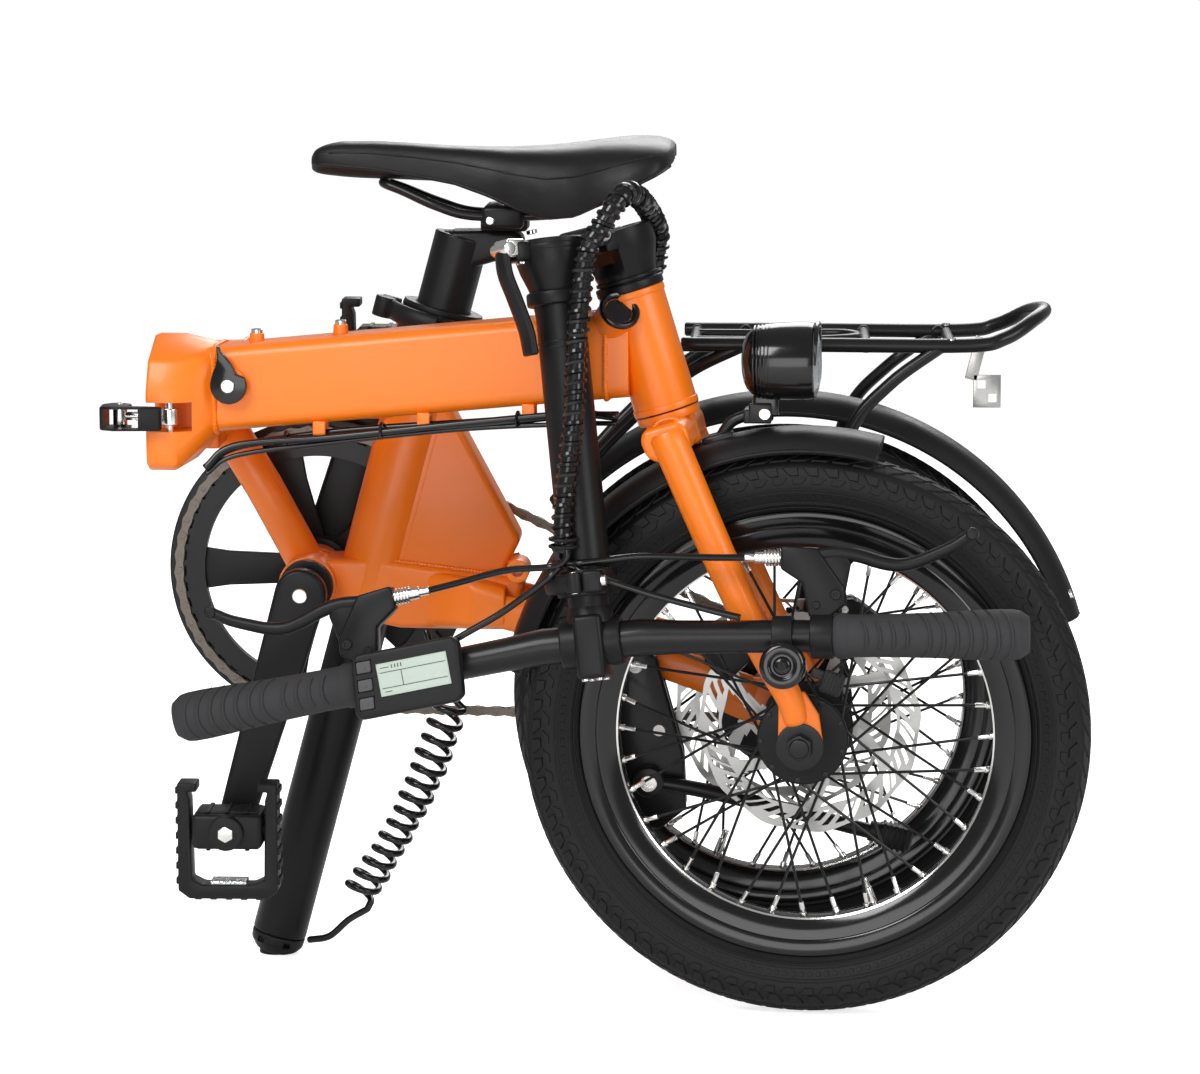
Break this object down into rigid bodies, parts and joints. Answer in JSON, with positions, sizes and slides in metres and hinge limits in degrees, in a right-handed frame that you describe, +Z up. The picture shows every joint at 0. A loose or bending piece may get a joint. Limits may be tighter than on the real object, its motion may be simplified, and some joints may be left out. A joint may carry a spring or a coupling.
{
  "type": "folding bicycle",
  "caption": "Compact folding bicycle shown folded: orange box-beam frame, handlepost hanging beside the wheels, disc brakes, rear rack and battery lead.",
  "frame": {"origin": "on the floor, under the middle of the folded bicycle's bounding box", "axes": "+Z up, +X from the main hinge towards the rear rack, -Y the side of the folded front half and the handlebar"},
  "size_m": [0.6954, 0.4092, 0.609],
  "materials": {
    "black_anodised": "satin black",
    "black_paint": "satin",
    "black_plastic": "moulded",
    "chain_steel": "oiled",
    "grip_rubber": "matte",
    "key_grey": "matte",
    "lens": "moulded lens",
    "orange_paint": "satin",
    "saddle_cover": "fine grain",
    "steel": "brushed",
    "tyre_rubber": "matte tread"
  },
  "bodies": {
    "handlebar": {"bell": "black_plastic", "brake_mount_left": "black_anodised", "brake_mount_right": "black_anodised", "display": "black_plastic", "grip_left": "grip_rubber", "grip_right": "grip_rubber", "handlebar": "black_anodised"},
    "bell_lever": {"bell_lever": "black_plastic"},
    "brake_left": {"brake_lever_left": "black_anodised"},
    "brake_right": {"brake_lever_right": "black_anodised"},
    "front_half": {"cable_loom": "black_plastic", "front_frame": "orange_paint"},
    "rear_half": {"chain": "chain_steel", "coil_cable": "black_plastic", "hinge_pin": "steel", "rear_axle": "black_paint", "rear_caliper": "black_anodised", "rear_fender": "black_plastic", "rear_frame": "orange_paint", "rear_rack": "black_paint", "seat_collar": "black_anodised"},
    "crank": {"chainring": "black_paint", "crank_left": "black_anodised", "crank_right": "black_anodised"},
    "fork": {"fork": "orange_paint", "front_axle": "black_paint", "front_caliper": "black_anodised", "front_fender": "black_plastic", "stem_base": "black_anodised"},
    "front_wheel": {"front_hub": "black_anodised", "front_rim": "black_paint", "front_rotor": "steel", "front_tyre": "tyre_rubber"},
    "handlepost": {"handlepost": "black_anodised"},
    "headlight": {"headlight": "black_plastic", "headlight_lens": "lens"},
    "inner_post": {"inner_post": "black_anodised"},
    "key_down": {"key_down": "key_grey"},
    "key_mode": {"key_mode": "key_grey"},
    "key_up": {"key_up": "key_grey"},
    "kickstand": {"kickstand_leg": "black_paint"},
    "frame_latch_bolt": {"latch_bolt": "steel"},
    "frame_latch_lever": {"latch_lever": "black_anodised"},
    "pedal_left": {"pedal_left_block": "black_plastic"},
    "pedal_left_platform": {"pedal_left_cage": "black_plastic"},
    "pedal_right": {"pedal_right_block": "black_plastic"},
    "pedal_right_platform": {"pedal_right_cage": "black_plastic"},
    "port_cover": {"port_cover": "black_plastic"},
    "post_lever": {"post_lever": "black_anodised"},
    "rear_wheel": {"rear_hub": "black_anodised", "rear_rim": "black_paint", "rear_rotor": "steel", "rear_tyre": "tyre_rubber"},
    "seatpost": {"saddle": "saddle_cover", "saddle_rails": "black_paint", "seatpost": "black_anodised", "seatpost_foot": "black_plastic"},
    "seat_lever": {"seat_lever": "black_anodised"},
    "sprocket": {"sprocket": "chain_steel"},
    "stem_latch": {"stem_latch": "steel"}
  },
  "joints": [
    {"name": "seatpost_height", "type": "slide", "parent": "rear_half", "child": "seatpost", "axis": [0.2588, 0, 0.9659], "range_m": [0, 0.2]},
    {"name": "seat_lever_swing", "type": "hinge", "parent": "rear_half", "child": "seat_lever", "pos_m": [-0.16224, 0.0616, 0.48514], "axis": [-0.2588, 0, -0.9659], "range_deg": [0, 68.75]},
    {"name": "kickstand_swing", "type": "hinge", "parent": "rear_half", "child": "kickstand", "pos_m": [0.03445, -0.0144, 0.15], "axis": [0, 1, 0], "range_deg": [0, 60.16]},
    {"name": "crank_spin", "type": "hinge", "parent": "rear_half", "child": "crank", "pos_m": [-0.21755, 0.0656, 0.283], "axis": [0, 1, 0], "range_deg": [-48.7, 97.4]},
    {"name": "pedal_left_spin", "type": "hinge", "parent": "crank", "child": "pedal_left", "pos_m": [-0.26583, -0.0444, 0.12], "axis": [0, 1, 0], "continuous": true},
    {"name": "pedal_left_fold", "type": "hinge", "parent": "pedal_left", "child": "pedal_left_platform", "pos_m": [-0.26583, -0.0524, 0.12], "axis": [-1, 0, 0], "range_deg": [0, 90]},
    {"name": "pedal_right_spin", "type": "hinge", "parent": "crank", "child": "pedal_right", "pos_m": [-0.16927, 0.1756, 0.446], "axis": [0, 1, 0], "continuous": true},
    {"name": "pedal_right_fold", "type": "hinge", "parent": "pedal_right", "child": "pedal_right_platform", "pos_m": [-0.16927, 0.1836, 0.446], "axis": [1, 0, 0], "range_deg": [0, 90]},
    {"name": "rear_wheel_spin", "type": "hinge", "parent": "rear_half", "child": "rear_wheel", "pos_m": [0.13145, 0.0656, 0.2], "axis": [0, 1, 0], "continuous": true},
    {"name": "sprocket_spin", "type": "hinge", "parent": "rear_half", "child": "sprocket", "pos_m": [0.13145, 0.0656, 0.2], "axis": [0, 1, 0], "range_deg": [-182.89, 363.78]},
    {"name": "main_fold", "type": "hinge", "parent": "rear_half", "child": "front_half", "pos_m": [-0.30855, 0.0086, 0.42], "axis": [0, 0, -1], "range_deg": [0, 175.5]},
    {"name": "frame_latch_bolt_swing", "type": "hinge", "parent": "front_half", "child": "frame_latch_bolt", "pos_m": [-0.29966, -0.08238, 0.421], "axis": [0, 0, 1], "range_deg": [0, 85.94]},
    {"name": "frame_latch_lever_swing", "type": "hinge", "parent": "frame_latch_bolt", "child": "frame_latch_lever", "pos_m": [-0.33471, -0.08163, 0.421], "axis": [0, 0, -1], "range_deg": [0, 80.21]},
    {"name": "port_cover_turn", "type": "hinge", "parent": "front_half", "child": "port_cover", "pos_m": [-0.25771, -0.08468, 0.443], "axis": [0.0785, 0.9969, 0], "range_deg": [0, 108.86]},
    {"name": "steering", "type": "hinge", "parent": "front_half", "child": "fork", "pos_m": [0.0355, -0.07565, 0.4696], "axis": [-0.2915, 0.0229, 0.9563], "range_deg": [-1.72, 24.06]},
    {"name": "headlight_tilt", "type": "hinge", "parent": "fork", "child": "headlight", "pos_m": [0.11765, -0.08212, 0.426], "axis": [-0.0785, -0.9969, 0], "range_deg": [-22.92, 9.74]},
    {"name": "front_wheel_spin", "type": "hinge", "parent": "fork", "child": "front_wheel", "pos_m": [0.14656, -0.08439, 0.2], "axis": [-0.0785, -0.9969, 0], "continuous": true},
    {"name": "handlepost_fold", "type": "hinge", "parent": "fork", "child": "handlepost", "pos_m": [-0.00881, -0.09082, 0.5466], "axis": [-0.6186, 0.758, -0.2067], "range_deg": [0, 166]},
    {"name": "stem_latch_turn", "type": "hinge", "parent": "handlepost", "child": "stem_latch", "pos_m": [-0.06212, -0.13535, 0.54286], "axis": [-0.6186, 0.758, -0.2067], "range_deg": [0, 80.21]},
    {"name": "post_lever_turn", "type": "hinge", "parent": "handlepost", "child": "post_lever", "pos_m": [-0.0116, -0.17697, 0.31979], "axis": [-0.1063, 0.18, 0.9779], "range_deg": [0, 68.75]},
    {"name": "handlebar_height", "type": "slide", "parent": "handlepost", "child": "inner_post", "axis": [0.1063, -0.18, -0.9779], "range_m": [0, 0.12]},
    {"name": "handlebar_roll", "type": "hinge", "parent": "inner_post", "child": "handlebar", "pos_m": [0.00024, -0.1573, 0.27574], "axis": [0.9879, -0.0926, 0.1244], "range_deg": [0, 63.02]},
    {"name": "brake_left_pull", "type": "hinge", "parent": "handlebar", "child": "brake_left", "pos_m": [-0.16922, -0.13781, 0.26943], "axis": [-0.113, -0.9793, 0.1679], "range_deg": [0, 13.75], "stiffness_Nm_per_rad": 6},
    {"name": "brake_right_pull", "type": "hinge", "parent": "handlebar", "child": "brake_right", "pos_m": [0.16667, -0.16931, 0.31174], "axis": [0.113, 0.9793, -0.1679], "range_deg": [0, 13.75], "stiffness_Nm_per_rad": 6},
    {"name": "key_up_press", "type": "slide", "parent": "handlebar", "child": "key_up", "axis": [0.113, 0.9793, -0.1679], "range_m": [0, 0.0012], "stiffness_N_per_m": 400},
    {"name": "key_mode_press", "type": "slide", "parent": "handlebar", "child": "key_mode", "axis": [0.113, 0.9793, -0.1679], "range_m": [0, 0.0012], "stiffness_N_per_m": 400},
    {"name": "key_down_press", "type": "slide", "parent": "handlebar", "child": "key_down", "axis": [0.113, 0.9793, -0.1679], "range_m": [0, 0.0012], "stiffness_N_per_m": 400},
    {"name": "bell_lever_turn", "type": "hinge", "parent": "handlebar", "child": "bell_lever", "pos_m": [0.13071, -0.19229, 0.26669], "axis": [-0.113, -0.9793, 0.1679], "range_deg": [0, 22.92], "stiffness_Nm_per_rad": 0.5}
  ],
  "couplings": [
    {"joint": "sprocket_spin", "follows": "crank_spin", "ratio": 3.7143}
  ]
}
